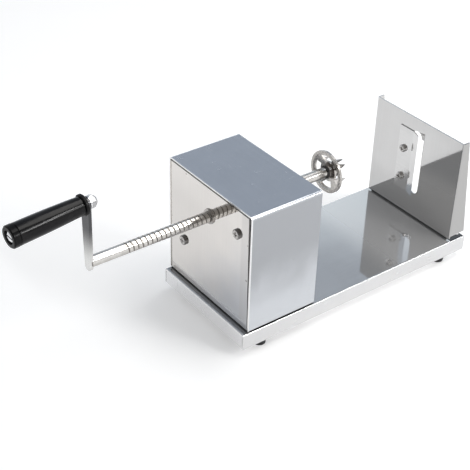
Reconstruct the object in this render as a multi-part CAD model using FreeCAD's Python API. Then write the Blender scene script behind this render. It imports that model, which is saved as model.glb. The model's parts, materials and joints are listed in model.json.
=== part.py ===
import FreeCAD, Part

# Hand cranked table-top spiral cutter, in millimetres.
# The machine frame has x = 0 at the front edge of the housing cover, y = 0 on the screw axis
# and z = 0 on the table. The crank is at -X and the blade at +X. Every piece is moved at the
# end so that the middle of the whole machine's length is at x = 0.

import math
import os

V = FreeCAD.Vector
X_AXIS = V(1, 0, 0)
Y_AXIS = V(0, 1, 0)
Z_AXIS = V(0, 0, 1)

# Base tray, folded from sheet with its open side down
base_length = 270.5
base_width = 120.5
base_lead = 5.0
base_sheet = 1.2
base_bend = 1.6
skirt_height = 15.5
skirt_seam = 0.5
return_width = 16.0

# Rubber feet
foot_stand = 8.0
foot_top_diameter = 14.0
foot_bottom_diameter = 11.5
foot_from_end = 25.0
foot_recess_play = 1.0
foot_recess_depth = 5.0

# Housing cover, an upside down U of sheet
cover_depth = 73.8
cover_side_step = 0.75
cover_above_axis = 28.7
cover_sheet = 1.2
cover_bend = 2.8
cover_return = 12.0
housing_gap = 1.5
cover_screw_from_side = 7.0
cover_screw_from_edge = 20.0

# Front and rear panels inside the cover
panel_sheet = 1.5
panel_inset = 0.8
panel_left_seam = 0.3
panel_right_seam_low = 1.8
panel_right_seam_high = 4.0
panel_top_seam = 2.4
panel_flange = 14.0
panel_flange_side_gap = 5.5
panel_screw_from_flange_end = 12.0
panel_return_gap = 1.2

# Feed screw axis above the tray
axis_height = 88.2

# Plate behind the front panel that carries the threaded nut
nut_plate_thickness = 3.0
nut_plate_margin = 9.0
nut_screw_left = 37.9
nut_screw_left_drop = 45.8
nut_screw_right = 39.7
nut_screw_right_rise = 4.2

# Threaded nut of the feed
nut_nose_wall = 1.7
nut_nose_proud = 1.5
nut_body_step = 3.3
nut_body_length = 17.0

# Feed screw: a plain rod with a helical groove
rod_diameter = 10.0
thread_pitch = 4.5
groove_depth = 0.5
groove_floor = 0.75
groove_mouth = 1.4
groove_overcut = 0.6
thread_lead = 85.5
thread_turns = 35
rib_side_gap = 0.2
rib_crest_gap = 0.2
tenon_shoulder = 2.0
tenon_recess = 1.0
spike_diameter = 4.0
spike_length = 12.0
spike_point = 6.0

# Rear guide bush
bush_wall = 2.0
bush_flange_step = 1.5
bush_flange_thickness = 2.0
bush_length = 8.0

# Crank arm, a flat bar
arm_reach = 117.0
arm_thickness = 3.0
arm_width_low = 8.0
arm_width_high = 10.0
crank_radius = 58.6
arm_tail = 8.0
arm_phase = 4.0
arm_yaw = 4.0
arm_lean = 2.0
arm_weld_depth = 0.5

# Grip that turns on a long screw
grip_length = 57.5
grip_inner_diameter = 15.4
grip_outer_diameter = 18.4
grip_crown = 0.35
grip_bevel = 0.7
grip_end_gap = 0.3
collar_thickness = 3.0
collar_diameter = 17.8
collar_bevel = 0.6
end_cap_length = 6.0
end_cap_step = 0.2
end_cap_groove = 0.6
end_cap_floor = 1.2
end_cap_bevel = 1.0
axle_diameter = 6.0
axle_head_diameter = 10.6
axle_head_height = 4.0
axle_head_dome = 1.0
axle_head_recess = 0.8
axle_slot_width = 1.3
axle_slot_depth = 1.5
cap_nut_flats = 10.0
cap_nut_hex = 3.8
cap_nut_dome = 3.2
cap_nut_shoulder = 0.5
lock_washer_thickness = 1.0
lock_washer_diameter = 11.0

# Toothed holding disc
disc_from_cover = 56.2
disc_diameter = 40.6
disc_sheet = 1.5
disc_rim_width = 2.6
disc_rim_thickness = 2.1
disc_dish = 3.5
disc_hub_wall = 1.75
disc_hub_rear = 7.0
disc_cone_step = 1.5
window_count = 4
window_rim_width = 4.5
window_hub_width = 3.1
window_angle = 54.0
window_middle = -3.5
tooth_length = 9.0
tooth_thickness = 1.3
tooth_root_overlap = 0.4

# Set collar in front of the disc, with its grub screw
set_collar_width = 3.4
set_collar_bevel = 0.4
grub_diameter = 2.6
grub_proud = 0.2
grub_dome = 0.8
grub_angle = 130.0

# Rubber buffer ring on the rod in front of the set collar
buffer_width = 1.2
buffer_wall = 1.0
buffer_gap = 0.3

# Blade plate with side flanges that taper to the rear
plate_side_step = 2.25
plate_above_axis = 18.4
plate_sheet = 1.2
plate_bend = 1.1
flange_low_depth = 19.8
flange_high_depth = 7.6
flange_lift = 4.5
foot_flange_depth = 15.0
foot_flange_setback = 3.0
foot_bend = 2.2
slot_right = 9.0
slot_width = 11.0
slot_bottom = 26.6
centre_hole_diameter = 12.0
plate_screw_from_end = 13.8

# Cutting blade
blade_sheet = 1.0
blade_outer_edge = 22.5
blade_bend_line = 4.5
blade_tip = -5.5
blade_below_slot = 1.4
blade_above_axis = 4.0
blade_bevel = 2.6
blade_screw_from_edge = 7.4
blade_screw_low_rise = 12.9
blade_screw_spacing = 31.1

# Screws and nuts
m4_diameter = 4.0
m4_head_diameter = 7.6
m4_head_height = 2.6
m4_nut_flats = 7.0
m4_nut_height = 3.0
m5_diameter = 5.0
m5_head_diameter = 9.2
m5_head_height = 2.4
m5_nut_flats = 8.0
m5_nut_height = 4.0
mount_washer_diameter = 9.0
thread_end = 1.0
cross_slot_width = 1.1
head_round = 0.45
cross_slot_reach = 0.3
cross_slot_depth = 0.45

# Named clearances
running_fit = 0.06
free_fit = 0.15
bush_play = 0.18
pivot_fit = 0.2
screw_hole_play = 0.2
seam_gap = 0.3

# Levels and places that follow from the sizes above
tray_top = foot_stand + skirt_height
tray_under = tray_top - base_sheet
return_top = foot_stand + base_sheet
base_front = -base_lead
base_rear = base_front + base_length
cover_width = base_width - 2 * cover_side_step
housing_floor = tray_top + housing_gap
axis_z = tray_top + axis_height
cover_top = axis_z + cover_above_axis + housing_gap
panel_flange_half = cover_width / 2 - cover_return - panel_flange_side_gap
rod_radius = rod_diameter / 2
nut_nose_diameter = rod_diameter + 2 * nut_nose_wall
nut_body_diameter = nut_nose_diameter + 2 * nut_body_step
bush_outer_diameter = rod_diameter + 2 * bush_wall
bush_flange_diameter = bush_outer_diameter + 2 * bush_flange_step
tenon_diameter = rod_diameter - 2 * tenon_shoulder
panel_back = panel_inset + panel_sheet
nut_plate_back = panel_back + nut_plate_thickness
nut_back = nut_plate_back + nut_body_length
rear_panel_face = cover_depth - panel_inset
thread_start = -thread_lead
disc_x = cover_depth + disc_from_cover
disc_floor = disc_x + disc_dish
disc_back = disc_floor + disc_sheet
disc_radius = disc_diameter / 2
hub_radius = rod_radius + disc_hub_wall
set_collar_front = disc_floor - set_collar_width
rod_end = disc_back + disc_hub_rear
window_inner = hub_radius + window_hub_width
window_outer = disc_radius - window_rim_width
arm_plane = -arm_reach
arm_face = arm_plane + arm_thickness / 2
grip_face = arm_thickness / 2 + collar_thickness + grip_end_gap
grip_end = grip_face + grip_length
cap_end = grip_end + end_cap_length
plate_x = base_rear - flange_low_depth
plate_half = base_width / 2 - plate_side_step
plate_top = axis_z + plate_above_axis
foot_flange_half = plate_half - plate_sheet - foot_flange_setback
blade_front = plate_x - blade_sheet
blade_low = tray_top + slot_bottom - blade_below_slot
blade_high = axis_z + blade_above_axis
m4_hole = m4_diameter + 2 * screw_hole_play
m5_hole = m5_diameter + 2 * screw_hole_play


def block(x0, x1, y0, y1, z0, z1):
    low = V(min(x0, x1), min(y0, y1), min(z0, z1))
    return Part.makeBox(abs(x1 - x0), abs(y1 - y0), abs(z1 - z0), low)


def rod_x(diameter, x0, x1, y=0.0, z=0.0):
    return Part.makeCylinder(diameter / 2, x1 - x0, V(x0, y, z), X_AXIS)


def rod_z(diameter, z0, z1, x=0.0, y=0.0):
    return Part.makeCylinder(diameter / 2, z1 - z0, V(x, y, z0), Z_AXIS)


def prism(points, direction):
    """Solid from a flat outline of corner points, pushed along a vector."""
    wire = Part.makePolygon(points + [points[0]])
    return Part.Face(wire).extrude(direction)


def turned(points, axis):
    """Solid of revolution about an axis through the origin from an outline of corner points."""
    wire = Part.makePolygon(points + [points[0]])
    return Part.Face(wire).revolve(V(0, 0, 0), axis, 360)


def turned_x(profile):
    """Solid of revolution about the X axis from (x, radius) corner points."""
    return turned([V(x, 0, r) for x, r in profile], X_AXIS)


def turned_z(profile):
    """Solid of revolution about the Z axis from (radius, z) corner points."""
    return turned([V(r, 0, z) for r, z in profile], Z_AXIS)


def fuse_all(shapes):
    return shapes[0].fuse(shapes[1:]).removeSplitter()


def group(shapes):
    return Part.makeCompound(shapes)


def straight_edges(shape, axis, test):
    """Straight edges of a shape that run along an axis and pass a test on their middle."""
    found = []
    for edge in shape.Edges:
        if edge.Curve.TypeId != "Part::GeomLine":
            continue
        if abs(edge.tangentAt(edge.FirstParameter).dot(axis)) < 0.999:
            continue
        if test(edge.CenterOfMass):
            found.append(edge)
    return found


def hexagon_prism(flats, height):
    corner = flats / math.sqrt(3)
    points = []
    for k in range(6):
        angle = math.radians(60 * k)
        points.append(V(corner * math.cos(angle), corner * math.sin(angle), 0))
    return prism(points, V(0, 0, height))


def hex_nut(flats, height, bore):
    """Hexagon nut on the Z axis with its base at z = 0, its corners chamfered at 30 degrees."""
    inner = flats / 2
    corner = flats / math.sqrt(3)
    chamfer = (corner - inner) * math.tan(math.radians(30))
    envelope = turned_z([(0, 0), (inner, 0), (corner, chamfer), (corner, height - chamfer),
                         (inner, height), (0, height)])
    body = hexagon_prism(flats, height).common(envelope)
    return body.cut(rod_z(bore, -height, 2 * height))


def pan_screw(diameter, head_diameter, head_height, length):
    """Cross slotted pan screw: head above z = 0, shank from z = 0 down to -length."""
    head = rod_z(head_diameter, 0, head_height)
    top = [e for e in head.Edges if e.CenterOfMass.z > head_height / 2 and len(e.Vertexes) == 1]
    head = head.makeFillet(head_height * head_round, top)
    reach = head_diameter * cross_slot_reach
    low = head_height * (1 - cross_slot_depth)
    half = cross_slot_width / 2
    cross = block(-reach, reach, -half, half, low, 2 * head_height)
    cross = cross.fuse(block(-half, half, -reach, reach, low, 2 * head_height))
    return head.cut(cross).fuse(rod_z(diameter, -length, 0))


def placed(shape, position, axis_direction):
    """Copy of a shape built along +Z, turned so that +Z points along a direction, and moved."""
    copy = shape.copy()
    copy.Placement = FreeCAD.Placement(position, FreeCAD.Rotation(Z_AXIS, axis_direction))
    return copy


def helical_tooth(x0, turns, inner_radius, outer_radius, floor_width, mouth_width):
    """Solid that winds about the screw axis, narrow at the inner radius, right handed."""
    helix = Part.makeHelix(thread_pitch, turns * thread_pitch, inner_radius)
    outline = [
        V(inner_radius, 0, -floor_width / 2),
        V(outer_radius, 0, -mouth_width / 2),
        V(outer_radius, 0, mouth_width / 2),
        V(inner_radius, 0, floor_width / 2),
    ]
    profile = Part.makePolygon(outline + [outline[0]])
    tooth = Part.Wire(helix).makePipeShell([profile], True, True)
    return placed(tooth, V(x0, 0, axis_z), X_AXIS)


def foot_places():
    y = base_width / 2 - base_sheet - return_width / 2
    xs = (base_front + foot_from_end, base_rear - foot_from_end)
    return [(x, side * y) for x in xs for side in (-1, 1)]


def cover_screw_places():
    y = cover_width / 2 - cover_screw_from_side
    xs = (cover_screw_from_edge, cover_depth - cover_screw_from_edge)
    return [(x, side * y) for x in xs for side in (-1, 1)]


def panel_screw_places():
    y = panel_flange_half - panel_screw_from_flange_end
    xs = (panel_back + panel_flange / 2, cover_depth - panel_back - panel_flange / 2)
    return [(x, side * y) for x in xs for side in (-1, 1)]


def plate_screw_places():
    x = plate_x + foot_flange_setback + foot_flange_depth / 2
    y = foot_flange_half - plate_screw_from_end
    return [(x, k * y) for k in (-1, 0, 1)]


def nut_screw_places():
    low = (nut_screw_left, axis_z - nut_screw_left_drop)
    high = (-nut_screw_right, axis_z + nut_screw_right_rise)
    return [low, high]


def blade_screw_places():
    y = blade_outer_edge - blade_screw_from_edge
    low = blade_low + blade_screw_low_rise
    return [(y, low), (y, low + blade_screw_spacing)]


def upright_holes(places, z0, z1):
    return [rod_z(m4_hole, z0, z1, x, y) for x, y in places]


def level_holes(places, diameter, x0, x1):
    return [rod_x(diameter, x0, x1, y, z) for y, z in places]


def nuts_on(places, level):
    nut = hex_nut(m4_nut_flats, m4_nut_height, m4_diameter + screw_hole_play)
    return group([placed(nut, V(x, y, level), Z_AXIS) for x, y in places])


def screws_under_tray(places, top_level):
    length = top_level + m4_nut_height + thread_end - tray_under
    screw = pan_screw(m4_diameter, m4_head_diameter, m4_head_height, length)
    return group([placed(screw, V(x, y, tray_under), -Z_AXIS) for x, y in places])


# Base: tray, feet and their fasteners


def make_base_tray():
    half = base_width / 2
    outer = block(base_front, base_rear, -half, half, foot_stand, tray_top)
    rims = [e for e in outer.Edges if e.CenterOfMass.z > tray_under]
    outer = outer.makeFillet(base_bend, rims)
    inner_half = half - base_sheet
    inner = block(base_front + base_sheet, base_rear - base_sheet, -inner_half, inner_half,
                  0, tray_under)
    x0 = base_front + 2 * base_sheet
    x1 = base_rear - 2 * base_sheet
    lips = []
    for side in (-1, 1):
        lips.append(block(x0, x1, side * inner_half, side * (inner_half - return_width),
                          foot_stand, return_top))
    tray = fuse_all([outer.cut(inner)] + lips)
    seams = []
    for x0, x1 in ((base_front, base_front + base_sheet), (base_rear - base_sheet, base_rear)):
        for side in (-1, 1):
            seams.append(block(x0, x1, side * inner_half, side * (inner_half - skirt_seam),
                               foot_stand, tray_top - base_bend))
    top_places = cover_screw_places() + panel_screw_places() + plate_screw_places()
    holes = upright_holes(foot_places(), foot_stand - base_sheet, return_top + base_sheet)
    holes += upright_holes(top_places, tray_under - base_sheet, tray_top + base_sheet)
    return tray.cut(seams + holes)


def make_rubber_feet():
    recess = m4_head_diameter + foot_recess_play
    feet = []
    for x, y in foot_places():
        foot = Part.makeCone(foot_bottom_diameter / 2, foot_top_diameter / 2, foot_stand, V(x, y, 0))
        foot = foot.cut(rod_z(recess, 0, foot_recess_depth, x, y))
        feet.append(foot.cut(rod_z(m4_hole, 0, foot_stand, x, y)))
    return group(feet)


def make_foot_screws():
    length = return_top + m4_nut_height + thread_end - foot_recess_depth
    screw = pan_screw(m4_diameter, m4_head_diameter, m4_head_height, length)
    return group([placed(screw, V(x, y, foot_recess_depth), -Z_AXIS) for x, y in foot_places()])


def make_mount_washers():
    washers = []
    for x, y in cover_screw_places() + panel_screw_places():
        ring = rod_z(mount_washer_diameter, tray_top, housing_floor, x, y)
        washers.append(ring.cut(rod_z(m4_hole, tray_top, housing_floor, x, y)))
    return group(washers)


# Housing: cover, panels and the plate that carries the nut


def bent_cap(x0, x1, half, z0, z1, radius):
    body = block(x0, x1, -half, half, z0, z1)
    middle = (z0 + z1) / 2
    return body.makeFillet(radius, straight_edges(body, X_AXIS, lambda c: c.z > middle))


def make_housing_cover():
    half = cover_width / 2
    inner_half = half - cover_sheet
    outer = bent_cap(0, cover_depth, half, housing_floor, cover_top, cover_bend)
    inner = bent_cap(-cover_sheet, cover_depth + cover_sheet, inner_half, 0,
                     cover_top - cover_sheet, cover_bend - cover_sheet)
    x0 = panel_back + panel_return_gap
    x1 = cover_depth - panel_back - panel_return_gap
    lips = []
    for side in (-1, 1):
        lips.append(block(x0, x1, side * inner_half, side * (half - cover_return),
                          housing_floor, housing_floor + cover_sheet))
    cover = fuse_all([outer.cut(inner)] + lips)
    return cover.cut(upright_holes(cover_screw_places(), 0, housing_floor + 2 * cover_sheet))


def panel_blank(x0, direction):
    """Upright sheet at x0, its right edge cut on a slant, with its foot flange turned along X."""
    side = cover_width / 2 - cover_sheet
    left = side - panel_left_seam
    top = cover_top - cover_sheet - panel_top_seam
    sheet = prism([V(x0, left, housing_floor), V(x0, left, top), V(x0, panel_right_seam_high - side, top),
                   V(x0, panel_right_seam_low - side, housing_floor)], V(direction * panel_sheet, 0, 0))
    flange = block(x0, x0 + direction * (panel_sheet + panel_flange),
                   -panel_flange_half, panel_flange_half, housing_floor, housing_floor + panel_sheet)
    panel = fuse_all([sheet, flange])
    return panel.cut(upright_holes(panel_screw_places(), 0, housing_floor + 2 * panel_sheet))


def make_front_panel():
    panel = panel_blank(panel_inset, 1)
    hole = nut_nose_diameter + 2 * seam_gap
    cuts = [rod_x(hole, 0, panel_back, 0, axis_z)]
    cuts += level_holes(nut_screw_places(), m5_hole, 0, panel_back)
    return panel.cut(cuts)


def make_rear_panel():
    panel = panel_blank(rear_panel_face, -1)
    return panel.cut(rod_x(bush_outer_diameter, rear_panel_face - panel_sheet, cover_depth, 0, axis_z))


def make_nut_plate():
    left, low = nut_screw_places()[0]
    right, high = nut_screw_places()[1]
    margin = nut_plate_margin
    plate = block(panel_back, nut_plate_back, right - margin, left + margin,
                  low - margin, high + margin)
    cuts = [rod_x(nut_nose_diameter, panel_back, nut_plate_back, 0, axis_z)]
    cuts += level_holes(nut_screw_places(), m5_hole, panel_back, nut_plate_back)
    return plate.cut(cuts)


def make_nut_plate_screws():
    length = nut_plate_back - panel_inset + m5_nut_height + thread_end
    screw = pan_screw(m5_diameter, m5_head_diameter, m5_head_height, length)
    return group([placed(screw, V(panel_inset, y, z), -X_AXIS) for y, z in nut_screw_places()])


def make_nut_plate_nuts():
    nut = hex_nut(m5_nut_flats, m5_nut_height, m5_diameter + screw_hole_play)
    return group([placed(nut, V(nut_plate_back, y, z), X_AXIS) for y, z in nut_screw_places()])


def make_feed_nut():
    bore_radius = rod_radius + free_fit
    nose = panel_inset - nut_nose_proud
    profile = [
        (nose, bore_radius),
        (nose, nut_nose_diameter / 2),
        (nut_plate_back, nut_nose_diameter / 2),
        (nut_plate_back, nut_body_diameter / 2),
        (nut_back, nut_body_diameter / 2),
        (nut_back, bore_radius),
    ]
    body = turned_x(profile)
    body.translate(V(0, 0, axis_z))
    first_turn = math.ceil((nose - thread_start) / thread_pitch)
    turns = math.floor((nut_back - thread_start) / thread_pitch) - first_turn
    crest_radius = rod_radius - groove_depth + rib_crest_gap
    rib = helical_tooth(thread_start + first_turn * thread_pitch, turns, crest_radius,
                        bore_radius + free_fit, groove_floor - 2 * rib_side_gap,
                        groove_mouth - 2 * rib_side_gap)
    return body.fuse(rib)


def make_rear_bush():
    bore_radius = rod_radius + bush_play
    inner_end = rear_panel_face - bush_length
    outer_end = rear_panel_face + bush_flange_thickness
    profile = [
        (inner_end, bore_radius),
        (inner_end, bush_outer_diameter / 2),
        (rear_panel_face, bush_outer_diameter / 2),
        (rear_panel_face, bush_flange_diameter / 2),
        (outer_end, bush_flange_diameter / 2),
        (outer_end, bore_radius),
    ]
    bush = turned_x(profile)
    bush.translate(V(0, 0, axis_z))
    return bush


# Feed screw, crank arm and grip


def make_screw_shaft():
    tenon_end = arm_plane - arm_thickness / 2 + tenon_recess
    shoulder = arm_face - arm_weld_depth
    point = rod_end + spike_length
    profile = [
        (tenon_end, 0),
        (tenon_end, tenon_diameter / 2),
        (shoulder, tenon_diameter / 2),
        (shoulder, rod_radius),
        (rod_end, rod_radius),
        (rod_end, spike_diameter / 2),
        (point - spike_point, spike_diameter / 2),
        (point, 0),
    ]
    shaft = turned_x(profile)
    shaft.translate(V(0, 0, axis_z))
    slope = (groove_mouth - groove_floor) / groove_depth
    groove = helical_tooth(thread_start, thread_turns, rod_radius - groove_depth,
                           rod_radius + groove_overcut, groove_floor,
                           groove_mouth + slope * groove_overcut)
    return shaft.cut([groove, make_crank_arm()])


def make_buffer_ring():
    end = set_collar_front - buffer_gap
    start = end - buffer_width
    ring = rod_x(rod_diameter + 2 * buffer_wall, start, end, 0, axis_z)
    return ring.cut(rod_x(rod_diameter + 2 * running_fit, start, end, 0, axis_z))


def crank_place(shape):
    """Set a piece that is built with the arm upright and square into its slight tilt."""
    centre = V(arm_plane, 0, axis_z)
    shape.rotate(centre, Y_AXIS, -arm_lean)
    shape.rotate(centre, Z_AXIS, arm_yaw)
    shape.rotate(centre, X_AXIS, arm_phase)
    return shape


def make_crank_arm():
    low = arm_width_low / 2
    high = arm_width_high / 2
    x0 = arm_plane - arm_thickness / 2
    top = axis_z + crank_radius
    bottom = axis_z - arm_tail + low
    outline = [V(x0, -low, bottom), V(x0, low, bottom), V(x0, high, top), V(x0, -high, top)]
    bar = prism(outline, V(arm_thickness, 0, 0))
    bar = fuse_all([bar, rod_x(arm_width_low, x0, arm_face, 0, bottom),
                    rod_x(arm_width_high, x0, arm_face, 0, top)])
    bar = bar.cut(rod_x(axle_diameter + screw_hole_play, x0, arm_face, 0, top))
    bar = crank_place(bar)
    pocket_floor = x0 + tenon_recess - screw_hole_play
    pocket = rod_x(tenon_diameter + screw_hole_play, pocket_floor, arm_face + arm_thickness, 0, axis_z)
    return bar.cut(pocket)


def grip_turned(profile):
    """Turned piece on the grip axis; profile x is measured outwards from the arm's middle."""
    shape = turned_x([(-x, r) for x, r in profile])
    shape.translate(V(arm_plane, 0, axis_z + crank_radius))
    return crank_place(shape)


def make_grip_collar():
    inner = axle_diameter / 2 + running_fit
    outer = collar_diameter / 2
    face = arm_thickness / 2
    end = face + collar_thickness
    bevel = collar_bevel
    return grip_turned([(face, inner), (face, outer - bevel), (face + bevel, outer),
                        (end - bevel, outer), (end, outer - bevel), (end, inner)])


def make_handle_grip():
    inner = axle_diameter / 2 + pivot_fit
    low = grip_inner_diameter / 2
    high = grip_outer_diameter / 2
    profile = [(grip_face, inner), (grip_face, low - grip_bevel), (grip_face + grip_bevel, low)]
    steps = 6
    for k in range(1, steps):
        share = k / steps
        bulge = grip_crown * math.sin(math.pi * share)
        profile.append((grip_face + share * grip_length, low + (high - low) * share + bulge))
    profile += [(grip_end - grip_bevel, high), (grip_end, high - grip_bevel), (grip_end, inner)]
    return grip_turned(profile)


def make_grip_end_cap():
    inner = axle_diameter / 2 + pivot_fit
    outer = grip_outer_diameter / 2 + end_cap_step
    neck = outer - end_cap_groove
    mouth = axle_head_diameter / 2 + 2 * pivot_fit
    floor = grip_end + end_cap_floor
    return grip_turned([
        (grip_end, inner),
        (grip_end, neck),
        (grip_end + end_cap_groove, neck),
        (grip_end + end_cap_groove, outer),
        (cap_end - end_cap_bevel, outer),
        (cap_end, outer - end_cap_bevel),
        (cap_end, mouth),
        (floor, mouth),
        (floor, inner),
    ])


def make_grip_axle():
    head_end = cap_end - axle_head_recess
    head_base = head_end - axle_head_height
    radius = axle_head_diameter / 2
    far_end = -(arm_thickness / 2 + lock_washer_thickness + cap_nut_hex)
    dome = axle_head_dome
    axle = grip_turned([
        (far_end, 0),
        (far_end, axle_diameter / 2),
        (head_base, axle_diameter / 2),
        (head_base, radius),
        (head_end - dome, radius),
        (head_end - dome / 3, radius - dome),
        (head_end, radius - 2 * dome),
        (head_end, 0),
    ])
    half = axle_slot_width / 2
    z = axis_z + crank_radius
    slot = block(arm_plane - head_end - axle_slot_depth, arm_plane - head_end + axle_slot_depth,
                 -radius, radius, z - half, z + half)
    return axle.cut(crank_place(slot))


def make_lock_washer():
    start = -arm_thickness / 2
    end = start - lock_washer_thickness
    inner = axle_diameter / 2 + running_fit
    outer = lock_washer_diameter / 2
    return grip_turned([(start, inner), (start, outer), (end, outer), (end, inner)])


def make_cap_nut():
    """Hexagon with a rounded dome and a blind thread that covers the end of the axle."""
    corner = cap_nut_flats / math.sqrt(3)
    shoulder = cap_nut_shoulder
    dome_radius = cap_nut_flats / 2 - shoulder
    envelope = [(0, 0), (corner - shoulder, 0), (corner, shoulder), (corner, cap_nut_hex - shoulder),
                (corner - 2 * shoulder, cap_nut_hex), (0, cap_nut_hex)]
    body = hexagon_prism(cap_nut_flats, cap_nut_hex).common(turned_z(envelope))
    dome = [(0, cap_nut_hex - shoulder), (dome_radius, cap_nut_hex - shoulder)]
    steps = 8
    for k in range(steps):
        angle = math.radians(90 * k / steps)
        dome.append((dome_radius * math.cos(angle), cap_nut_hex + cap_nut_dome * math.sin(angle)))
    dome.append((0, cap_nut_hex + cap_nut_dome))
    body = body.fuse(turned_z(dome))
    body = body.cut(rod_z(axle_diameter + 2 * running_fit, 0, cap_nut_hex + running_fit))
    seat = arm_plane + arm_thickness / 2 + lock_washer_thickness
    return crank_place(placed(body, V(seat, 0, axis_z + crank_radius), X_AXIS))


# Holding disc


def disc_turn(shape, turn):
    """Turn a piece about the screw axis; it is built with its radius along +Y."""
    shape.rotate(V(0, 0, axis_z), X_AXIS, turn)
    return shape


def make_holder_disc():
    bore = rod_radius + running_fit
    flat_end = disc_radius - disc_rim_width
    disc = turned_x([
        (disc_x, flat_end),
        (disc_x, disc_radius),
        (disc_x + disc_rim_thickness, disc_radius),
        (disc_x + disc_rim_thickness, flat_end),
        (disc_back, hub_radius + disc_cone_step),
        (rod_end, hub_radius),
        (rod_end, bore),
        (disc_floor, bore),
        (disc_floor, hub_radius),
    ])
    disc.translate(V(0, 0, axis_z))
    windows = []
    teeth = []
    for k in range(window_count):
        turn = window_middle + 360.0 * k / window_count
        windows.append(disc_turn(window_cutter(), turn))
        teeth.append(disc_turn(tooth_plate(), turn + window_angle / 2))
    return disc.cut(windows).fuse(teeth)


def window_cutter():
    """Ring sector that is centred on the +Y direction."""
    half_angle = math.radians(window_angle / 2)
    reach = disc_radius / math.cos(half_angle)
    side_y = reach * math.cos(half_angle)
    side_z = reach * math.sin(half_angle)
    corners = [V(disc_x, 0, axis_z), V(disc_x, side_y, axis_z + side_z),
               V(disc_x, side_y, axis_z - side_z)]
    wedge = prism(corners, V(rod_end - disc_x, 0, 0))
    ring = rod_x(2 * window_outer, disc_x, rod_end, 0, axis_z)
    return wedge.common(ring.cut(rod_x(2 * window_inner, disc_x, rod_end, 0, axis_z)))


def dish_depth(radius):
    """How far the front face of the dished sheet lies behind the rim at a radius."""
    flat_end = disc_radius - disc_rim_width
    return disc_dish * (flat_end - radius) / (flat_end - hub_radius)


def tooth_plate():
    """Triangular tooth, bent out to the rear along one side of its window."""
    inner = window_inner - tooth_root_overlap
    outer = window_outer + tooth_root_overlap
    middle = (window_inner + window_outer) / 2
    root = disc_sheet / 2
    points = [
        V(disc_x + dish_depth(inner) + root, inner, axis_z),
        V(disc_x + dish_depth(outer) + root, outer, axis_z),
        V(disc_back + tooth_length, middle, axis_z),
    ]
    return prism(points, V(0, 0, tooth_thickness))


def grub_middle():
    return disc_floor - set_collar_width / 2


def make_set_collar():
    bore = rod_radius + running_fit
    bevel = set_collar_bevel
    collar = turned_x([
        (set_collar_front, bore),
        (set_collar_front, hub_radius - bevel),
        (set_collar_front + bevel, hub_radius),
        (disc_floor, hub_radius),
        (disc_floor, bore),
    ])
    collar.translate(V(0, 0, axis_z))
    centre = V(grub_middle(), 0, axis_z)
    hole = Part.makeCylinder(grub_diameter / 2, hub_radius + grub_diameter, centre, Y_AXIS)
    return collar.cut(disc_turn(hole, grub_angle))


def make_grub_screw():
    """Short set screw with a domed end, set radially into the collar."""
    inner = rod_radius + running_fit
    top = hub_radius + grub_proud
    radius = grub_diameter / 2
    ball_radius = (radius ** 2 + grub_dome ** 2) / (2 * grub_dome)
    ball = Part.makeSphere(ball_radius, V(0, 0, top + grub_dome - ball_radius))
    cap = ball.common(rod_z(grub_diameter, top - grub_proud, top + grub_dome))
    screw = rod_z(grub_diameter, inner, top).fuse(cap)
    return disc_turn(placed(screw, V(grub_middle(), 0, axis_z), Y_AXIS), grub_angle)


# Blade plate and blade


def foot_flange():
    """Lower end of the blade plate, bent through a right angle and lying on the tray."""
    half = foot_flange_half
    rear = plate_x + plate_sheet
    top = tray_top + plate_sheet
    end = plate_x + foot_flange_setback + foot_flange_depth
    near = plate_sheet / 2
    foot = fuse_all([block(plate_x, rear, -half, half, tray_top, tray_top + 2 * foot_bend),
                     block(plate_x, end, -half, half, tray_top, top)])
    outer = straight_edges(foot, Y_AXIS, lambda c: c.x - plate_x + c.z - tray_top < near)
    foot = foot.makeFillet(foot_bend, outer)
    inner = straight_edges(foot, Y_AXIS, lambda c: abs(c.x - rear) + abs(c.z - top) < near)
    return foot.makeFillet(foot_bend - plate_sheet, inner)


def make_blade_plate():
    rear = plate_x + plate_sheet
    parts = [block(plate_x, rear, -plate_half, plate_half, tray_top + foot_bend, plate_top)]
    flange_low = tray_top + flange_lift
    for side in (-1, 1):
        y = side * plate_half
        outline = [V(plate_x, y, flange_low), V(plate_x + flange_low_depth, y, flange_low),
                   V(plate_x + flange_high_depth, y, plate_top), V(plate_x, y, plate_top)]
        parts.append(prism(outline, V(0, -side * plate_sheet, 0)))
    parts.append(foot_flange())
    plate = fuse_all(parts)
    sheet_middle = plate_x + plate_sheet / 2
    side_middle = plate_half - plate_sheet / 2
    corners = straight_edges(plate, Z_AXIS, lambda c: c.x < sheet_middle and abs(c.y) > side_middle)
    plate = plate.makeFillet(plate_bend, corners)
    low = tray_top + slot_bottom + slot_width / 2
    cuts = [
        block(plate_x, rear, -slot_right, slot_width - slot_right, low, axis_z),
        rod_x(slot_width, plate_x, rear, slot_width / 2 - slot_right, low),
        rod_x(centre_hole_diameter, plate_x, rear, 0, axis_z),
    ]
    cuts += level_holes(blade_screw_places(), m4_hole, plate_x, rear)
    cuts += upright_holes(plate_screw_places(), tray_top, tray_top + plate_sheet)
    return plate.cut(cuts)


def make_cutting_blade():
    """Strip blade whose free side stands off the plate by one turn of the feed screw."""
    edge_x = plate_x - thread_pitch
    run = blade_bend_line - blade_tip
    share = (run - blade_bevel) / run
    bevel_x = plate_x + (edge_x + blade_sheet - plate_x) * share
    outline = [
        V(plate_x, blade_outer_edge, blade_low),
        V(blade_front, blade_outer_edge, blade_low),
        V(blade_front, blade_bend_line, blade_low),
        V(edge_x, blade_tip, blade_low),
        V(bevel_x, blade_tip + blade_bevel, blade_low),
        V(plate_x, blade_bend_line, blade_low),
    ]
    blade = prism(outline, V(0, 0, blade_high - blade_low))
    return blade.cut(level_holes(blade_screw_places(), m4_hole, blade_front, plate_x))


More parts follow.
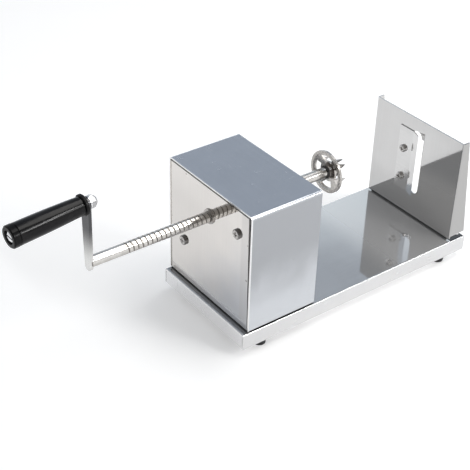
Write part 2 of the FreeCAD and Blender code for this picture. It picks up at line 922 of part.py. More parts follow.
def make_blade_screws():
    length = blade_sheet + plate_sheet + m4_nut_height + thread_end
    screw = pan_screw(m4_diameter, m4_head_diameter, m4_head_height, length)
    return group([placed(screw, V(blade_front, y, z), -X_AXIS) for y, z in blade_screw_places()])


def make_blade_nuts():
    nut = hex_nut(m4_nut_flats, m4_nut_height, m4_diameter + screw_hole_play)
    rear = plate_x + plate_sheet
    return group([placed(nut, V(rear, y, z), X_AXIS) for y, z in blade_screw_places()])


def all_nodes():
    cover_nut_level = housing_floor + cover_sheet
    panel_nut_level = housing_floor + panel_sheet
    plate_nut_level = tray_top + plate_sheet
    return {
        "base_tray": make_base_tray(),
        "rubber_feet": make_rubber_feet(),
        "foot_screws": make_foot_screws(),
        "foot_nuts": nuts_on(foot_places(), return_top),
        "mount_washers": make_mount_washers(),
        "housing_cover": make_housing_cover(),
        "cover_screws": screws_under_tray(cover_screw_places(), cover_nut_level),
        "cover_nuts": nuts_on(cover_screw_places(), cover_nut_level),
        "front_panel": make_front_panel(),
        "rear_panel": make_rear_panel(),
        "panel_screws": screws_under_tray(panel_screw_places(), panel_nut_level),
        "panel_nuts": nuts_on(panel_screw_places(), panel_nut_level),
        "nut_plate": make_nut_plate(),
        "nut_plate_screws": make_nut_plate_screws(),
        "nut_plate_nuts": make_nut_plate_nuts(),
        "feed_nut": make_feed_nut(),
        "rear_bush": make_rear_bush(),
        "screw_shaft": make_screw_shaft(),
        "crank_arm": make_crank_arm(),
        "grip_collar": make_grip_collar(),
        "handle_grip": make_handle_grip(),
        "grip_end_cap": make_grip_end_cap(),
        "grip_axle": make_grip_axle(),
        "lock_washer": make_lock_washer(),
        "cap_nut": make_cap_nut(),
        "buffer_ring": make_buffer_ring(),
        "holder_disc": make_holder_disc(),
        "set_collar": make_set_collar(),
        "grub_screw": make_grub_screw(),
        "blade_plate": make_blade_plate(),
        "cutting_blade": make_cutting_blade(),
        "blade_screws": make_blade_screws(),
        "blade_nuts": make_blade_nuts(),
        "plate_screws": screws_under_tray(plate_screw_places(), plate_nut_level),
        "plate_nuts": nuts_on(plate_screw_places(), plate_nut_level),
    }


os.makedirs("parts", exist_ok=True)
nodes = all_nodes()
front_end = nodes["grip_end_cap"].optimalBoundingBox(False, False).XMin
middle = (front_end + base_rear) / 2
for name, shape in nodes.items():
    shape.translate(V(-middle, 0, 0))
    shape.exportStep(os.path.join("parts", name + ".step"))
    state = "valid" if shape.isValid() else "not valid"
    print(name, len(shape.Solids), "solids", state, round(shape.Volume, 1), "mm3")
print("machine frame zero is at x =", round(-middle, 3))
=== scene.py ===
import bpy
import json
import math
from mathutils import Matrix, Vector

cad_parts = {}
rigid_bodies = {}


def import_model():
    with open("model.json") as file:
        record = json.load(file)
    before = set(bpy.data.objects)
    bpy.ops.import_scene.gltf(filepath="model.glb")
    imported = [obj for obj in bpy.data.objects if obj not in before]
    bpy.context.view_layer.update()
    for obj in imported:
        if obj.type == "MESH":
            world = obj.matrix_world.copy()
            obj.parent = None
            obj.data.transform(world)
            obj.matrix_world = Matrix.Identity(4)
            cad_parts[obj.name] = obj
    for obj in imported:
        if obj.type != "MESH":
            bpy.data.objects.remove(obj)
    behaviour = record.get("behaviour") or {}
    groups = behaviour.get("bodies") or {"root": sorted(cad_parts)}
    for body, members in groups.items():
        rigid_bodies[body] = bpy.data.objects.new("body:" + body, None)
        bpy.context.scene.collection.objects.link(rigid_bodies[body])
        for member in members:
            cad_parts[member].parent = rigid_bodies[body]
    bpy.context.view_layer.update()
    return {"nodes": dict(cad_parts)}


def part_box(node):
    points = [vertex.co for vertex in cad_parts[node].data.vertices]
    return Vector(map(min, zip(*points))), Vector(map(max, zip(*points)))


for thing in list(bpy.data.objects):
    bpy.data.objects.remove(thing)
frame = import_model()


# Base tray. One stainless sheet with its four sides folded down and the corners closed up tight.
# The top keeps the mill's mirror polish, and the skirts are rubbed satin where they are handled.
# Every other piece of the machine stands on it, held by screws from below.
MM = 0.001


def new_finish(name):
    """An empty finish, with nothing but its surface shader."""
    material = bpy.data.materials.new(name)
    material.use_nodes = True
    return material


def join(material, source, target):
    material.node_tree.links.new(source, target)


def skin(material, name):
    """One input of a finish's surface shader."""
    return material.node_tree.nodes["Principled BSDF"].inputs[name]


def add(material, kind, settings=None, **inputs):
    """One node of a finish. Its inputs go by name, or by number as i0, i1 and so on."""
    made = material.node_tree.nodes.new("ShaderNode" + kind)
    for key, value in (settings or {}).items():
        setattr(made, key, value)
    for key, value in inputs.items():
        socket = made.inputs[int(key[1:])] if key[0] == "i" and key[1:].isdigit() else made.inputs[key]
        if isinstance(value, bpy.types.NodeSocket):
            join(material, value, socket)
        else:
            socket.default_value = value
    return made


def work_out(material, operation, *values):
    """The result of one sum on numbers or on the outputs of other nodes."""
    inputs = {f"i{k}": value for k, value in enumerate(values)}
    return add(material, "Math", {"operation": operation}, **inputs).outputs[0]


def times(material, *values):
    """All of the values multiplied together."""
    result = values[0]
    for value in values[1:]:
        result = work_out(material, "MULTIPLY", result, value)
    return result


def sheet_place(material, stretch=(1, 1, 1)):
    """Position on the piece, in metres, stretched so that a grain can run one way."""
    spot = add(material, "TexCoord").outputs["Object"]
    return add(material, "Mapping", {"vector_type": "POINT"}, Vector=spot, Scale=stretch).outputs[0]


def along(material, axis):
    """Position on the piece along one axis, in metres."""
    spot = add(material, "TexCoord").outputs["Object"]
    return add(material, "SeparateXYZ", Vector=spot).outputs[axis]


def grain(material, place, size, detail=3.0, rough=0.5, distortion=0.0):
    """Noise from 0 to 1, where size is how many grains fit in a metre."""
    made = add(material, "TexNoise", Vector=place, Scale=size, Detail=detail, Roughness=rough,
               Distortion=distortion)
    return made.outputs["Fac"]


def spread(material, value, low, high, out_low, out_high, smooth=True):
    """A value taken from one range to another, held at its ends."""
    settings = {"interpolation_type": "SMOOTHSTEP" if smooth else "LINEAR", "clamp": True}
    made = add(material, "MapRange", settings, i0=value, i1=low, i2=high, i3=out_low, i4=out_high)
    return made.outputs[0]


def rises(material, value, start, full):
    """0 up to the start, 1 from the full mark on."""
    return spread(material, value, start, full, 0, 1)


def falls(material, value, full, end):
    """1 up to the full mark, 0 from the end on."""
    return spread(material, value, full, end, 1, 0)


def two_colours(material, share, first, second):
    """The first colour where the share is 0, and the second where it is 1."""
    made = add(material, "Mix", {"data_type": "RGBA"}, i0=share)
    for k, colour in ((6, first), (7, second)):
        if isinstance(colour, bpy.types.NodeSocket):
            join(material, colour, made.inputs[k])
        else:
            made.inputs[k].default_value = (*colour, 1)
    return made.outputs[2]


def repaint(material, share, colour):
    """Takes a finish towards another colour where the share is 1."""
    tone = skin(material, "Base Color").links[0].from_socket
    join(material, two_colours(material, share, tone, colour), skin(material, "Base Color"))


def relief(material, height, depth, below=None):
    """Surface relief whose height of 0 to 1 is worth this depth in metres."""
    made = add(material, "Bump", Height=height, Distance=depth, Strength=1.0)
    if below is not None:
        join(material, below, made.inputs["Normal"])
    return made.outputs["Normal"]


def steel(name, colour, polish, stretch, shade=0.9, line_depth=0.0006 * MM):
    """Stainless steel with rolling lines, a faint wave in the sheet and cloudy handling marks."""
    clouds_per_metre = 22
    smears_per_metre = 132
    waves_per_metre = 14
    wave_depth = 0.012 * MM
    line_share = 0.45
    cloud_share = 0.55
    material = new_finish(name)
    place = sheet_place(material)
    lines = grain(material, sheet_place(material, stretch), 1.0, 4.0, 0.6)
    clouds = grain(material, place, clouds_per_metre, 4.0, 0.55, 0.6)
    smears = grain(material, place, smears_per_metre, 3.0, 0.6, 1.2)
    worn = work_out(material, "ADD", times(material, lines, line_share), times(material, clouds, cloud_share))
    dark = tuple(c * shade for c in colour)
    tone = two_colours(material, rises(material, worn, 0.3, 0.7), dark, colour)
    join(material, tone, skin(material, "Base Color"))
    smeared = spread(material, smears, 0.45, 0.8, polish, polish * 1.35 + 0.01)
    lined = spread(material, lines, 0.2, 0.8, -0.12 * polish, 0.12 * polish)
    join(material, work_out(material, "ADD", smeared, lined), skin(material, "Roughness"))
    buckled = relief(material, grain(material, place, waves_per_metre, 1.0), wave_depth)
    join(material, relief(material, lines, line_depth, buckled), skin(material, "Normal"))
    skin(material, "Metallic").default_value = 1.0
    return material


def wear(name, material):
    """Puts a finish on a piece of the frame."""
    for slot in frame["nodes"][name].material_slots:
        slot.material = material


tray_low, tray_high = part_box("base_tray")
cover_low, cover_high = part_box("housing_cover")
plate_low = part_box("blade_plate")[0]

tray_grey = (0.57, 0.577, 0.585)
skirt_lit_pale = (0.90, 0.90, 0.905)
long_skirt_lit_grey = (0.68, 0.68, 0.685)
dark_strip_grey = (0.16, 0.16, 0.165)
shade_black = (0.03, 0.03, 0.032)
haze_and_light_grey = (0.64, 0.64, 0.64)
top_polish = 0.05
skirt_rough = 0.22
skirt_rough_share = 0.8
dark_strip_share = 0.55
shade_share = 0.9

tray_finish = steel("tray sheet", tray_grey, top_polish, stretch=(5, 1400, 1400))
tray_x = along(tray_finish, "X")
tray_y = work_out(tray_finish, "ABSOLUTE", along(tray_finish, "Y"))
tray_z = along(tray_finish, "Z")
on_top = rises(tray_finish, tray_z, tray_high.z - 0.7 * MM, tray_high.z - 0.1 * MM)
off_top = work_out(tray_finish, "SUBTRACT", 1.0, on_top)

# The skirts are satin, and the top is a mirror.
top_rough = skin(tray_finish, "Roughness").links[0].from_socket
satin = work_out(tray_finish, "ADD", times(tray_finish, top_rough, skirt_rough_share), skirt_rough)
polish_by_side = add(tray_finish, "Mix", {"data_type": "FLOAT"}, i0=on_top, i2=satin, i3=top_rough)
join(tray_finish, polish_by_side.outputs[0], skin(tray_finish, "Roughness"))
long_side = rises(tray_finish, tray_y, tray_high.y - 0.9 * MM, tray_high.y - 0.3 * MM)
# The skirts are painted paler than the top, and the long skirts less so: painted light by side.
repaint(tray_finish, off_top, skirt_lit_pale)
repaint(tray_finish, long_side, long_skirt_lit_grey)

# The strip of the top in front of the housing is painted darker.
behind_edge = rises(tray_finish, tray_x, tray_low.x + 1.4 * MM, tray_low.x + 2.4 * MM)
before_housing = falls(tray_finish, tray_x, cover_low.x + 1.0 * MM, cover_low.x + 4.0 * MM)
dark_strip = times(tray_finish, behind_edge, before_housing, on_top)
repaint(tray_finish, times(tray_finish, dark_strip, dark_strip_share), dark_strip_grey)

# Painted shade lies under the housing's side walls, and under the blade plate's flanges.
under_wall = times(tray_finish, falls(tray_finish, tray_y, cover_high.y - 0.25 * MM, cover_high.y),
                   rises(tray_finish, tray_y, cover_high.y - 4 * MM, cover_high.y - 3 * MM))
along_housing = times(tray_finish, rises(tray_finish, tray_x, cover_low.x, cover_low.x + 0.4 * MM),
                      falls(tray_finish, tray_x, cover_high.x - 0.4 * MM, cover_high.x))
under_flange = rises(tray_finish, tray_y, cover_high.y - 10 * MM, cover_high.y - 7 * MM)
behind_plate = rises(tray_finish, tray_x, plate_low.x + 0.5 * MM, plate_low.x + 1.5 * MM)
painted_shade_strips = work_out(tray_finish, "MAXIMUM", times(tray_finish, under_wall, along_housing),
                 times(tray_finish, under_flange, behind_plate, on_top))
repaint(tray_finish, times(tray_finish, painted_shade_strips, shade_share), shade_black)

# The top near the blade plate is painted lighter and less metallic: a haze, and also painted light
# that brightens the reflections there.
near_plate = rises(tray_finish, tray_x, plate_low.x - 95 * MM, plate_low.x - 60 * MM)
hazed_and_lit = times(tray_finish, near_plate, on_top)
unshaded = work_out(tray_finish, "SUBTRACT", 1.0, painted_shade_strips)
repaint(tray_finish, times(tray_finish, hazed_and_lit, unshaded), haze_and_light_grey)
clear_metallic, hazed_metallic = 0.8, 0.72
metallic = spread(tray_finish, hazed_and_lit, 0, 1, clear_metallic, hazed_metallic, smooth=False)
join(tray_finish, metallic, skin(tray_finish, "Metallic"))
wear("base_tray", tray_finish)


# Rubber feet. Four black rubber buttons, moulded with a soft edge and screwed up into the tray's
# folded return. They are dull, a little dusty, and scuffed pale where they rub on the table.
rubber_black = (0.018, 0.018, 0.02)
dust_grey = (0.07, 0.068, 0.066)
speckles_per_metre = 900
speckle_depth = 0.04 * MM
rubber_smoothest, rubber_roughest = 0.55, 0.8
feet_finish = new_finish("foot rubber")
speckle = grain(feet_finish, sheet_place(feet_finish), speckles_per_metre, 4.0, 0.6)
scuffed = falls(feet_finish, along(feet_finish, "Z"), 0.2 * MM, 1.6 * MM)
dusty = times(feet_finish, scuffed, spread(feet_finish, speckle, 0.35, 0.65, 0.2, 1))
join(feet_finish, two_colours(feet_finish, dusty, rubber_black, dust_grey), skin(feet_finish, "Base Color"))
join(feet_finish, spread(feet_finish, speckle, 0.3, 0.7, rubber_smoothest, rubber_roughest),
     skin(feet_finish, "Roughness"))
join(feet_finish, relief(feet_finish, speckle, speckle_depth), skin(feet_finish, "Normal"))
wear("rubber_feet", feet_finish)


# Screws, nuts and washers. Pressed and rolled small parts of plain stainless steel, tumbled until
# their edges shine. The two pan heads on the front panel have painted shade round their rims.
def fastener(name, colour, polish):
    """A small tumbled part, a little uneven in tone and polish."""
    marks_per_metre = 420
    turning_lines_per_metre = 2600
    line_depth = 0.004 * MM
    dark_shade = 0.7
    dull_factor = 1.8
    material = new_finish(name)
    place = sheet_place(material)
    tumbled = grain(material, place, marks_per_metre, 4.0, 0.6)
    turned = grain(material, place, turning_lines_per_metre, 2.0, 0.5)
    dark = tuple(c * dark_shade for c in colour)
    tone = two_colours(material, rises(material, tumbled, 0.35, 0.65), dark, colour)
    join(material, tone, skin(material, "Base Color"))
    dulled = spread(material, tumbled, 0.3, 0.75, polish, polish * dull_factor)
    join(material, dulled, skin(material, "Roughness"))
    join(material, relief(material, turned, line_depth), skin(material, "Normal"))
    skin(material, "Metallic").default_value = 1.0
    return material


def distance_from(material, y, z):
    """Distance from the line that runs along the machine through this place."""
    across = work_out(material, "SUBTRACT", along(material, "Y"), y)
    up = work_out(material, "SUBTRACT", along(material, "Z"), z)
    squares = work_out(material, "ADD", times(material, across, across), times(material, up, up))
    return work_out(material, "SQRT", squares)


screw_finish = fastener("tumbled screws", (0.60, 0.585, 0.57), polish=0.2)
for name in ("foot_screws", "foot_nuts", "mount_washers", "cover_screws", "cover_nuts", "panel_screws",
             "panel_nuts", "nut_plate_nuts", "blade_screws", "blade_nuts", "plate_screws", "plate_nuts"):
    wear(name, screw_finish)

rim_shade_grey = (0.19, 0.185, 0.18)
unshaded_radius = 3.3 * MM
rim_radius = 4.1 * MM
left_head_y_z = (37.9 * MM, 65.9 * MM)
right_head_y_z = (-39.7 * MM, 115.9 * MM)
panel_screw_finish = fastener("panel screws", (0.62, 0.60, 0.58), polish=0.18)
from_middle = work_out(panel_screw_finish, "MINIMUM", distance_from(panel_screw_finish, *left_head_y_z),
                       distance_from(panel_screw_finish, *right_head_y_z))
# Painted shade round the rims of the two pan heads.
repaint(panel_screw_finish, rises(panel_screw_finish, from_middle, unshaded_radius, rim_radius), rim_shade_grey)
wear("nut_plate_screws", panel_screw_finish)


# Housing cover. A U of thinner sheet over the feed, its legs turned in at the foot. It is ground to
# a fine even satin. Painted shade darkens its walls below the top and a line along their foot.
# Painted light pales the walls towards the foot and the inside of its mouth, and a painted
# highlight brightens its cut edges.
cover_blue = (0.58, 0.60, 0.635)
wall_shade_grey = (0.375, 0.385, 0.405)
foot_light_blue = (0.585, 0.605, 0.635)
foot_shade_black = (0.04, 0.04, 0.04)
edge_highlight_pale = (0.86, 0.86, 0.86)
mouth_light_pale = (0.90, 0.885, 0.87)
clouds_per_metre = 26
wander = 8 * MM
pale_height, grey_height = 12 * MM, 72 * MM
cover_finish = steel("housing sheet", cover_blue, polish=0.2, stretch=(1600, 5, 5), shade=0.93)
cover_x, cover_y, cover_z = (along(cover_finish, axis) for axis in "XYZ")
cloudy = grain(cover_finish, sheet_place(cover_finish), clouds_per_metre, 3.0, 0.5, 0.5)
wavering = work_out(cover_finish, "ADD", cover_z,
                    spread(cover_finish, cloudy, 0.3, 0.7, -wander, wander, smooth=False))
side_wall = falls(cover_finish, cover_z, cover_high.z - 3 * MM, cover_high.z - 1.5 * MM)
lit_foot = falls(cover_finish, wavering, cover_low.z + pale_height, cover_low.z + grey_height)
foot_shade_line = falls(cover_finish, cover_z, cover_low.z + 0.4 * MM, cover_low.z + 0.9 * MM)
front_edge = falls(cover_finish, cover_x, cover_low.x + 0.6 * MM, cover_low.x + 1.1 * MM)
# Painted shade on the walls, and painted light paling them towards the foot.
repaint(cover_finish, side_wall, wall_shade_grey)
repaint(cover_finish, lit_foot, foot_light_blue)
# A painted shade line along the foot of the walls.
repaint(cover_finish, foot_shade_line, foot_shade_black)
# A painted highlight along the front edge.
repaint(cover_finish, front_edge, edge_highlight_pale)

# Inside faces of the walls, just behind the mouth, painted pale as painted light.
mouth = times(cover_finish, falls(cover_finish, cover_x, cover_low.x + 4 * MM, cover_low.x + 7 * MM),
              falls(cover_finish, cover_z, cover_high.z - 3 * MM, cover_high.z - 2 * MM))
right_inside = times(cover_finish,
                     rises(cover_finish, cover_y, cover_low.y + 0.7 * MM, cover_low.y + 0.8 * MM),
                     falls(cover_finish, cover_y, -10 * MM, 0))
left_inside = times(cover_finish,
                    falls(cover_finish, cover_y, cover_high.y - 0.8 * MM, cover_high.y - 0.7 * MM),
                    rises(cover_finish, cover_y, 0, 10 * MM))
inside = work_out(cover_finish, "MAXIMUM", right_inside, left_inside)
repaint(cover_finish, times(cover_finish, mouth, inside), mouth_light_pale)
wear("housing_cover", cover_finish)


# Front panel. A flat mirror polished plate set just inside the cover. It carries the feed's thread
# plate on two pan head screws, and has picked up a few brown specks at its edges.
panel_warm = (0.77, 0.74, 0.71)
panel_reflection_cool = (0.53, 0.55, 0.59)
edge_grey = (0.50, 0.49, 0.48)
edge_share = 0.3
foot_metallic, sawn_metallic = 0.3, 0.45
patches_per_metre = 30
patch_wander = 10 * MM
speck_brown = (0.13, 0.10, 0.075)
raggedness_per_metre = 900
raggedness = 0.7 * MM
specks_y_z_size = ((35.1, 135.9, 1.0), (57.0, 81.8, 0.8), (-53.7, 111.7, 1.0), (-53.4, 75.9, 1.2),
                   (-54.6, 64.0, 0.7), (-55.2, 97.0, 0.6))
panel_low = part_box("front_panel")[0]
panel_finish = steel("mirror panel", panel_warm, polish=0.045, stretch=(1, 1200, 5), shade=0.95)
panel_x, panel_y, panel_z = (along(panel_finish, axis) for axis in "XYZ")

# Painted reflection: the face is painted cooler and darker towards the lower right corner.
# It is greyer along the right edge.
uneven = grain(panel_finish, sheet_place(panel_finish), patches_per_metre)
slant = work_out(panel_finish, "ADD", work_out(panel_finish, "ADD", panel_y, panel_z),
                 spread(panel_finish, uneven, 0.3, 0.7, -patch_wander, patch_wander, smooth=False))
repaint(panel_finish, falls(panel_finish, slant, -30 * MM, 95 * MM), panel_reflection_cool)
repaint(panel_finish, spread(panel_finish, panel_y, -46 * MM, -44 * MM, edge_share, 0), edge_grey)

# The foot of the panel and its sawn edges are duller than its face.
rubbed_foot = spread(panel_finish, panel_z, panel_low.z + 5 * MM, panel_low.z + 8 * MM, foot_metallic, 1)
sawn_edge = spread(panel_finish, panel_x, panel_low.x + 0.1 * MM, panel_low.x + 0.3 * MM, 1, sawn_metallic)
join(panel_finish, times(panel_finish, rubbed_foot, sawn_edge), skin(panel_finish, "Metallic"))
ragged = spread(panel_finish, grain(panel_finish, sheet_place(panel_finish), raggedness_per_metre, 2.0),
                0.3, 0.7, 0, raggedness, smooth=False)
for y, z, size in specks_y_z_size:
    away = work_out(panel_finish, "ADD", distance_from(panel_finish, y * MM, z * MM), ragged)
    repaint(panel_finish, falls(panel_finish, away, 0.35 * size * MM, 1.3 * size * MM), speck_brown)
wear("front_panel", panel_finish)


# Rear panel and thread plate. The rear panel is the front one's twin and guides the rod's other end,
# and the thread plate behind the front panel is a thicker ground bar that takes the feed's load.
wear("rear_panel", steel("rear panel sheet", (0.70, 0.70, 0.70), polish=0.12, stretch=(1, 1200, 5)))
wear("nut_plate", steel("ground bar", (0.52, 0.52, 0.515), polish=0.3, stretch=(1, 5, 1500), shade=0.8,
                        line_depth=0.003 * MM))


# Threaded nut and rear bush. The nut is turned from darker steel, oiled, and its nose stands just out
# of the front panel. The bush behind it is turned brass. Fine rings from the tool run round both.
def turned_metal(name, colour, polish):
    """Metal turned on a lathe, with an uneven film of oil."""
    ring_stretch = (3800, 60, 60)
    ring_depth = 0.003 * MM
    oil_patches_per_metre = 160
    dark_shade = 0.62
    dull_factor = 1.7
    material = new_finish(name)
    rings = grain(material, sheet_place(material, ring_stretch), 1.0, 3.0, 0.6)
    oil = grain(material, sheet_place(material), oil_patches_per_metre, 3.0, 0.5, 0.8)
    worn = work_out(material, "ADD", times(material, rings, 0.5), times(material, oil, 0.5))
    dark = tuple(c * dark_shade for c in colour)
    tone = two_colours(material, rises(material, worn, 0.34, 0.62), dark, colour)
    join(material, tone, skin(material, "Base Color"))
    join(material, spread(material, oil, 0.3, 0.7, polish, polish * dull_factor), skin(material, "Roughness"))
    join(material, relief(material, rings, ring_depth), skin(material, "Normal"))
    skin(material, "Metallic").default_value = 1.0
    return material


wear("feed_nut", turned_metal("oiled nut", (0.58, 0.555, 0.53), polish=0.22))
wear("rear_bush", turned_metal("bush brass", (0.72, 0.52, 0.24), polish=0.2))


# Feed screw. A bright ground rod with one rounded groove cut round and round it, and a small spike at
# the far end. The lands are polished like chrome, and the groove is duller and holds grease.
land_dull = (0.53, 0.51, 0.485)
land_bright = (0.61, 0.595, 0.57)
grease_brown = (0.17, 0.155, 0.14)
grease_share = 0.85
grease_rough = 0.25
smoothest_land, roughest_land = 0.22, 0.27
groove_radius, land_radius = 4.6 * MM, 4.97 * MM
ring_stretch = (5200, 40, 40)
ring_depth = 0.0003 * MM
film_patches_per_metre = 130
disc_low, disc_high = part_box("holder_disc")
rod_finish = new_finish("bright rod")
radius = distance_from(rod_finish, 0, (disc_low.z + disc_high.z) / 2)
in_groove = falls(rod_finish, radius, groove_radius, land_radius)
rings = grain(rod_finish, sheet_place(rod_finish, ring_stretch), 1.0, 3.0, 0.6)
film = grain(rod_finish, sheet_place(rod_finish), film_patches_per_metre, 3.0, 0.55, 0.7)
land = two_colours(rod_finish, rises(rod_finish, film, 0.35, 0.7), land_dull, land_bright)
join(rod_finish, land, skin(rod_finish, "Base Color"))
repaint(rod_finish, times(rod_finish, in_groove, grease_share), grease_brown)
land_rough = spread(rod_finish, rings, 0.3, 0.75, smoothest_land, roughest_land)
join(rod_finish, work_out(rod_finish, "ADD", land_rough, times(rod_finish, in_groove, grease_rough)),
     skin(rod_finish, "Roughness"))
join(rod_finish, relief(rod_finish, rings, ring_depth), skin(rod_finish, "Normal"))
skin(rod_finish, "Metallic").default_value = 1.0
wear("screw_shaft", rod_finish)


# Crank arm. A flat bar with rounded ends, sawn, linished and joined flush to the end of the rod. It is
# duller than the rod, and a painted reflection darkens it towards the grip.
arm_pale = (0.74, 0.735, 0.72)
reflection_black = (0.085, 0.085, 0.088)
arm_low, arm_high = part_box("crank_arm")
reflection_start = arm_low.z + 6 * MM
reflection_full = arm_high.z - 26 * MM
arm_finish = steel("linished arm", arm_pale, polish=0.22, stretch=(900, 900, 8), shade=0.85,
                   line_depth=0.0025 * MM)
# Painted reflection: darker up the arm towards the grip.
dark_reflection = rises(arm_finish, along(arm_finish, "Z"), reflection_start, reflection_full)
repaint(arm_finish, dark_reflection, reflection_black)
wear("crank_arm", arm_finish)


# Grip, its end cap and its collar. The grip is turned from hard black plastic and polished, the cap is
# pressed on its outer end, and the collar is a plain black washer that keeps it off the arm.
def black_plastic(name, polish, speckle_depth, shine):
    """Hard black plastic with a slight haze in its polish."""
    deep_black = (0.006, 0.006, 0.0065)
    haze_black = (0.013, 0.0125, 0.013)
    haze_patches_per_metre = 90
    speckles_per_metre = 1600
    dull_factor = 1.6
    material = new_finish(name)
    place = sheet_place(material)
    haze = grain(material, place, haze_patches_per_metre, 4.0, 0.6, 0.5)
    fine = grain(material, place, speckles_per_metre, 3.0, 0.6)
    tone = two_colours(material, rises(material, haze, 0.4, 0.75), deep_black, haze_black)
    join(material, tone, skin(material, "Base Color"))
    dulled = spread(material, haze, 0.3, 0.8, polish, polish * dull_factor)
    join(material, dulled, skin(material, "Roughness"))
    join(material, relief(material, fine, speckle_depth), skin(material, "Normal"))
    skin(material, "Specular IOR Level").default_value = shine
    return material


for name, label, polish, speckle_depth, shine in (
        ("handle_grip", "polished black grip", 0.14, 0.0003 * MM, 0.15),
        ("grip_end_cap", "black end cap", 0.14, 0.0003 * MM, 0.09),
        ("grip_collar", "black collar", 0.34, 0.003 * MM, 0.15)):
    wear(name, black_plastic(label, polish, speckle_depth, shine))


# Grip screw, lock washer and cap nut. Bright plated hardware: a long slotted screw runs down the grip
# into the arm, and a domed cap nut closes it on the other side. The collar's screw is plated as well.
bright_finish = fastener("bright plating", (0.84, 0.84, 0.85), polish=0.08)
for name in ("grip_axle", "lock_washer", "grub_screw"):
    wear(name, bright_finish)
wear("cap_nut", fastener("cap nut plating", (0.55, 0.55, 0.555), polish=0.3))


# Toothed holding disc and its set collar. The disc is stamped from sheet with four windows whose
# tongues are bent into teeth, and its rim is rolled over. The collar in front is dark turned steel.
wear("holder_disc", steel("stamped disc", (0.53, 0.505, 0.48), polish=0.26, stretch=(90, 420, 420),
                          shade=0.72, line_depth=0.003 * MM))
wear("set_collar", turned_metal("dark collar", (0.31, 0.285, 0.265), polish=0.3))


# Rubber buffer ring. A thin black ring pushed on the rod in front of the collar, so that the disc
# meets the housing softly when it is wound back.
ring_black = (0.015, 0.015, 0.016)
ring_grey = (0.05, 0.048, 0.047)
ring_smoothest, ring_roughest = 0.5, 0.75
pores_per_metre = 1500
pore_depth = 0.02 * MM
ring_finish = new_finish("buffer rubber")
pores = grain(ring_finish, sheet_place(ring_finish), pores_per_metre, 3.0, 0.6)
join(ring_finish, two_colours(ring_finish, pores, ring_black, ring_grey), skin(ring_finish, "Base Color"))
join(ring_finish, spread(ring_finish, pores, 0.3, 0.7, ring_smoothest, ring_roughest),
     skin(ring_finish, "Roughness"))
join(ring_finish, relief(ring_finish, pores, pore_depth), skin(ring_finish, "Normal"))
wear("buffer_ring", ring_finish)


# Blade plate. Mirror polished like the tray, with two side flanges that taper back to the tray and a
# foot that is screwed down. The slot in it lets each slice through, and painted shade darkens the foot's
# fold.
plate_grey = (0.61, 0.605, 0.60)
flange_shade_grey = (0.42, 0.415, 0.41)
fold_shade_black = (0.03, 0.03, 0.03)
fold_shade_share = 0.93
plate_finish = steel("plate sheet", plate_grey, polish=0.045, stretch=(1, 1200, 5), shade=0.95)
plate_x, plate_y, plate_z = (along(plate_finish, axis) for axis in "XYZ")
# Painted shade: the right flange's outer face is darker.
right_flange = falls(plate_finish, plate_y, plate_low.y + 0.2 * MM, plate_low.y + 1.3 * MM)
repaint(plate_finish, right_flange, flange_shade_grey)
# Painted shade in the fold at the foot of the plate.
low_down = falls(plate_finish, plate_z, plate_low.z + 1.6 * MM, plate_low.z + 2.3 * MM)
at_fold = falls(plate_finish, plate_x, plate_low.x + 1.6 * MM, plate_low.x + 2.2 * MM)
repaint(plate_finish, times(plate_finish, low_down, at_fold, fold_shade_share), fold_shade_black)
wear("blade_plate", plate_finish)


# Cutting blade. A strip of harder steel with its free edge ground to a bevel and set off the plate.
# Grinding lines run across it, and the cutting edge is the brightest thing on it.
wear("cutting_blade", steel("ground blade", (0.68, 0.675, 0.67), polish=0.13, stretch=(1, 6, 2200),
                            shade=0.85, line_depth=0.0015 * MM))


# Table and room. A wide plain white table stands in a white room with a dim blue-grey ceiling. One
# large soft box hangs overhead, and of two long strips to the right one draws the line on the grip.
def table_finish(name, colour, glow, far_glow):
    """White paint that also glows to the camera and in mirrors, more so far out, under its shadows."""
    near_end = 1.25
    far_start = 3.0
    mottling_per_metre = 3
    mottled_shade = 0.985
    material = new_finish(name)
    mottled = two_colours(material, grain(material, sheet_place(material), mottling_per_metre), colour,
                          tuple(c * mottled_shade for c in colour))
    join(material, mottled, skin(material, "Base Color"))
    skin(material, "Roughness").default_value = 0.9
    skin(material, "Specular IOR Level").default_value = 0.1
    skin(material, "Emission Color").default_value = (1, 1, 1, 1)
    path = add(material, "LightPath")
    mirrored = work_out(material, "ADD", path.outputs["Is Glossy Ray"], path.outputs["Is Transmission Ray"])
    looked_at = work_out(material, "ADD", path.outputs["Is Camera Ray"], mirrored)
    seen = work_out(material, "MINIMUM", looked_at, 1.0)
    out = add(material, "VectorMath", {"operation": "LENGTH"}, i0=sheet_place(material)).outputs["Value"]
    strength = times(material, seen, spread(material, out, near_end, far_start, glow, far_glow))
    join(material, strength, skin(material, "Emission Strength"))
    return material


def flat_sheet(name, corners, material):
    """A four-cornered sheet of the stage."""
    mesh = bpy.data.meshes.new(name)
    mesh.from_pydata(corners, [], [(0, 1, 2, 3)])
    mesh.materials.append(material)
    sheet = bpy.data.objects.new(name, mesh)
    bpy.context.scene.collection.objects.link(sheet)
    return sheet


table_half = 30.0
table_corners = [(x * table_half, y * table_half, 0) for x, y in ((-1, -1), (1, -1), (1, 1), (-1, 1))]
flat_sheet("white_table", table_corners,
           table_finish("white table", (0.86, 0.86, 0.86), glow=0.27, far_glow=0.88))

wall_top = math.sin(math.radians(15))
ceiling_start = math.sin(math.radians(20))
wall_white = (1, 1, 1)
ceiling_grey = (0.38, 0.38, 0.38)
ceiling_blue = (0.455, 0.505, 0.575)
corner_grey = (0.36, 0.35, 0.34)
room = bpy.data.worlds.new("white room")
room.use_nodes = True
bpy.context.scene.world = room
way = add(room, "SeparateXYZ", Vector=add(room, "TexCoord").outputs["Generated"])


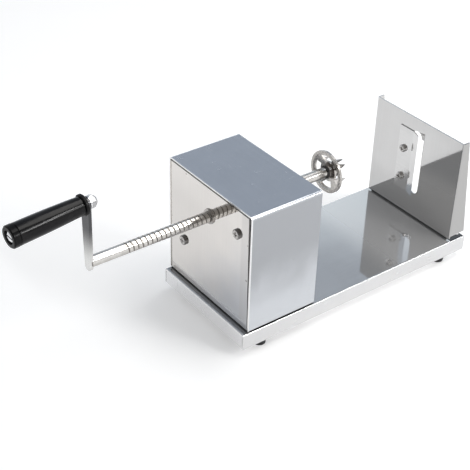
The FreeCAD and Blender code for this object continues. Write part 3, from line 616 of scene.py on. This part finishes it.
def towards(x_share, y_share):
    """How far the way looked in the room points along this level direction."""
    return work_out(room, "ADD", times(room, way.outputs["X"], x_share),
                    times(room, way.outputs["Y"], y_share))


ceiling = two_colours(room, rises(room, towards(0.67, 0.74), -0.1, 0.45), ceiling_grey, ceiling_blue)
walls = two_colours(room, rises(room, way.outputs["Z"], wall_top, ceiling_start), wall_white, ceiling)
dark_corner = times(room, rises(room, towards(-0.86, -0.5), 0.25, 0.5),
                    add(room, "LightPath").outputs["Is Glossy Ray"])
join(room, two_colours(room, dark_corner, walls, corner_grey),
     room.node_tree.nodes["Background"].inputs["Color"])


def lamp(name, position, target, width, height, radiance, colour=(1, 1, 1), long_way=None):
    """A rectangular lamp whose face has this radiance; its width may run along a given direction."""
    data = bpy.data.lights.new(name, "AREA")
    data.shape = "RECTANGLE"
    data.size = width
    data.size_y = height
    data.color = colour
    data.energy = radiance * width * height * math.pi
    made = bpy.data.objects.new(name, data)
    forth = (Vector(target) - Vector(position)).normalized()
    wide = Vector(long_way) if long_way else forth.cross(Vector((0, 0, 1)))
    wide = (wide - wide.dot(forth) * forth).normalized()
    turned = Matrix((wide, wide.cross(forth), -forth)).transposed().to_4x4()
    made.matrix_world = Matrix.Translation(position) @ turned
    bpy.context.scene.collection.objects.link(made)


housing_middle = (-0.05, 0, 0.1)
grip_middle = (-0.19, 0, 0.17)
lamp("overhead_box", (0.60, -0.15, 1.65), housing_middle, width=1.3, height=0.6, radiance=4.6,
     colour=(1.0, 0.975, 0.94))
lamp("side_strip", (1.46, -1.57, 1.24), housing_middle, width=1.3, height=0.16, radiance=16)
lamp("grip_strip", (0.88, -1.657, 1.325), grip_middle, width=0.9, height=0.12, radiance=34,
     long_way=(0.198, 0.353, 0.375))


# Pale card. It stands behind the machine, out of the picture, and lightens the far end of the tray.
# It fades out towards its top, and is seen only in mirrors.
card_away = 0.42
card_half = 0.5
card_height = 0.4
fade_start, fade_end = 0.17, 0.31
card_finish = new_finish("pale card")
skin(card_finish, "Base Color").default_value = (0, 0, 0, 1)
skin(card_finish, "Specular IOR Level").default_value = 0
skin(card_finish, "Emission Color").default_value = (0.86, 0.94, 1.0, 1)
skin(card_finish, "Emission Strength").default_value = 1.15
join(card_finish, falls(card_finish, along(card_finish, "Z"), fade_start, fade_end),
     skin(card_finish, "Alpha"))
card_way = Vector((0.67, 0.74, 0))
card_across = Vector((-0.74, 0.67, 0))
card_left = card_way * card_away - card_across * card_half
card_right = card_way * card_away + card_across * card_half
card_up = Vector((0, 0, card_height))
card_corners = [tuple(v) for v in (card_left, card_right, card_right + card_up, card_left + card_up)]
card = flat_sheet("pale_card", card_corners, card_finish)
card.visible_camera = False
card.visible_diffuse = False
card.visible_shadow = False


# Camera. It looks down from above and in front of the crank end, through a long lens, with a slight
# lean of the frame.
camera_data = bpy.data.cameras.new("camera")
camera_data.lens = 85.74
camera_data.sensor_width = 36
camera_data.clip_start = 0.01
camera_data.clip_end = 100
camera = bpy.data.objects.new("camera", camera_data)
bpy.context.scene.collection.objects.link(camera)
camera_place = Vector((-504.81, -642.15, 634.89)) * MM
turn, tilt, lean = (math.radians(angle) for angle in (-37.61, 34.32, 1.81))
back = Vector((math.sin(turn) * math.cos(tilt), -math.cos(turn) * math.cos(tilt), math.sin(tilt)))
side = (-back).cross(Vector((0, 0, 1))).normalized()
top = side.cross(-back)
frame_x = math.cos(lean) * side + math.sin(lean) * top
frame_y = -math.sin(lean) * side + math.cos(lean) * top
camera.matrix_world = (Matrix.Translation(camera_place)
                       @ Matrix((frame_x, frame_y, back)).transposed().to_4x4())
bpy.context.scene.camera = camera
bpy.context.scene.view_settings.view_transform = "Standard"
